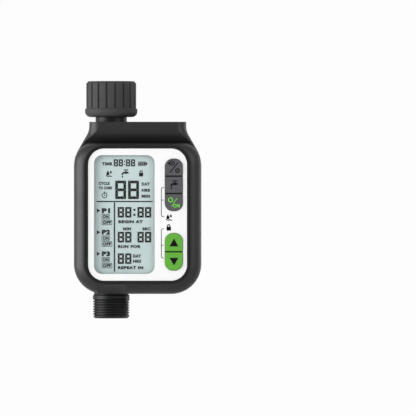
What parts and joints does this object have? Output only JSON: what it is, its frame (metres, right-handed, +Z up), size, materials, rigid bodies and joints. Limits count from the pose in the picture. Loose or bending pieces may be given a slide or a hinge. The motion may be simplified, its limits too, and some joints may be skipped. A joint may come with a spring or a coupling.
{
  "type": "drip irrigation timer",
  "caption": "Battery tap timer: black housing with a display panel and keys, union nut inlet above, threaded outlet below, motorised ball valve inside.",
  "frame": {"origin": "on the pipe axis at the upper end of the inlet nut's thread", "axes": "+Z up along the pipe towards the tap, +X to the right of the display, the display faces -Y"},
  "size_m": [0.0916, 0.052, 0.1709],
  "materials": {
    "housing_plastic": "fine moulded texture",
    "nut_plastic": "fine moulded texture",
    "pipe_plastic": "satin moulded",
    "panel_plastic": "smooth",
    "clear_window": "clear polished",
    "lcd_glass": "display film",
    "inner_plastic": "moulded",
    "valve_plastic": "glass filled",
    "gear_plastic": "natural acetal",
    "seat_plastic": "slippery",
    "key_rubber_grey": "matte",
    "key_rubber_green": "matte",
    "carbon_contact": "carbon loaded",
    "seal_rubber": "matte",
    "screw_steel": "zinc plated",
    "bright_metal": "bright",
    "ball_metal": "polished",
    "motor_steel": "drawn can",
    "gear_brass": "machined",
    "board_laminate": "solder resist",
    "chip_plastic": "moulded",
    "cell_wrap": "printed wrap",
    "lead_insulation": "flexible"
  },
  "bodies": {
    "root": {"front_shell": "housing_plastic", "rear_shell": "housing_plastic", "shell_gasket": "seal_rubber", "shell_screws": "screw_steel", "face_panel": "panel_plastic", "lcd_lens": "clear_window", "lcd_glass": "lcd_glass", "lcd_frame": "inner_plastic", "zebra_strips": "seal_rubber", "keypad_mats": "key_rubber_grey", "main_board": "board_laminate", "board_screws": "screw_steel", "board_chips": "chip_plastic", "crystal": "bright_metal", "buzzer": "chip_plastic", "capacitors": "bright_metal", "inlet_washer": "seal_rubber", "inlet_filter": "inner_plastic", "filter_mesh": "bright_metal", "inlet_spigot": "pipe_plastic", "inlet_o_ring": "seal_rubber", "outlet_o_ring": "seal_rubber", "valve_body": "valve_plastic", "valve_screws": "screw_steel", "seat_upper": "seat_plastic", "seat_lower": "seat_plastic", "outlet_tube": "pipe_plastic", "gearbox_base": "valve_plastic", "gearbox_cover": "valve_plastic", "gearbox_screws": "screw_steel", "gear_axles": "bright_metal", "motor": "motor_steel", "motor_screws": "screw_steel", "battery_cells": "cell_wrap", "battery_contacts": "bright_metal", "battery_springs": "bright_metal", "hinge_pin": "bright_metal", "motor_leads": "lead_insulation", "battery_leads": "lead_insulation"},
    "inlet_nut": {"inlet_nut": "nut_plastic"},
    "valve": {"valve_ball": "ball_metal", "valve_stem": "bright_metal", "stem_o_rings": "seal_rubber", "output_gear": "gear_plastic"},
    "gear_b": {"gear_b": "gear_plastic"},
    "gear_a": {"gear_a": "gear_plastic"},
    "rotor": {"motor_pinion": "gear_brass", "motor_shaft": "bright_metal"},
    "battery_door": {"battery_door": "housing_plastic", "door_gasket": "seal_rubber"},
    "key_mode": {"key_mode": "key_rubber_grey", "key_mode_contact": "carbon_contact"},
    "key_tap": {"key_tap": "key_rubber_grey", "key_tap_contact": "carbon_contact"},
    "key_on_off": {"key_on_off": "key_rubber_grey", "key_on_off_contact": "carbon_contact"},
    "key_up": {"key_up": "key_rubber_green", "key_up_contact": "carbon_contact"},
    "key_down": {"key_down": "key_rubber_green", "key_down_contact": "carbon_contact"}
  },
  "joints": [
    {"name": "nut_spin", "type": "hinge", "parent": "root", "child": "inlet_nut", "pos_m": [0, 0, -0.012], "axis": [0, 0, 1], "continuous": true},
    {"name": "valve_turn", "type": "hinge", "parent": "root", "child": "valve", "pos_m": [0.02, 0, -0.073], "axis": [1, 0, 0], "range_deg": [0, 90]},
    {"name": "gear_b_spin", "type": "hinge", "parent": "root", "child": "gear_b", "pos_m": [0.026, 0.00263, -0.05808], "axis": [1, 0, 0], "range_deg": [-360, 0]},
    {"name": "gear_a_spin", "type": "hinge", "parent": "root", "child": "gear_a", "pos_m": [0.03, -0.0009, -0.0449], "axis": [1, 0, 0], "range_deg": [0, 1260]},
    {"name": "rotor_spin", "type": "hinge", "parent": "root", "child": "rotor", "pos_m": [0.034, 0.01228, -0.04843], "axis": [1, 0, 0], "range_deg": [-4410, 0]},
    {"name": "key_mode_press", "type": "slide", "parent": "root", "child": "key_mode", "axis": [0, 1, 0], "range_m": [0, 0.001], "stiffness_N_per_m": 1200},
    {"name": "key_tap_press", "type": "slide", "parent": "root", "child": "key_tap", "axis": [0, 1, 0], "range_m": [0, 0.001], "stiffness_N_per_m": 1200},
    {"name": "key_on_off_press", "type": "slide", "parent": "root", "child": "key_on_off", "axis": [0, 1, 0], "range_m": [0, 0.001], "stiffness_N_per_m": 1200},
    {"name": "key_up_press", "type": "slide", "parent": "root", "child": "key_up", "axis": [0, 1, 0], "range_m": [0, 0.001], "stiffness_N_per_m": 1200},
    {"name": "key_down_press", "type": "slide", "parent": "root", "child": "key_down", "axis": [0, 1, 0], "range_m": [0, 0.001], "stiffness_N_per_m": 1200},
    {"name": "door_swing", "type": "hinge", "parent": "root", "child": "battery_door", "pos_m": [0.0345, 0.0202, -0.0907], "axis": [1, 0, 0], "range_deg": [0, 95]}
  ],
  "couplings": [
    {"joint": "gear_b_spin", "follows": "valve_turn", "ratio": -4},
    {"joint": "gear_a_spin", "follows": "valve_turn", "ratio": 14},
    {"joint": "rotor_spin", "follows": "valve_turn", "ratio": -49}
  ]
}
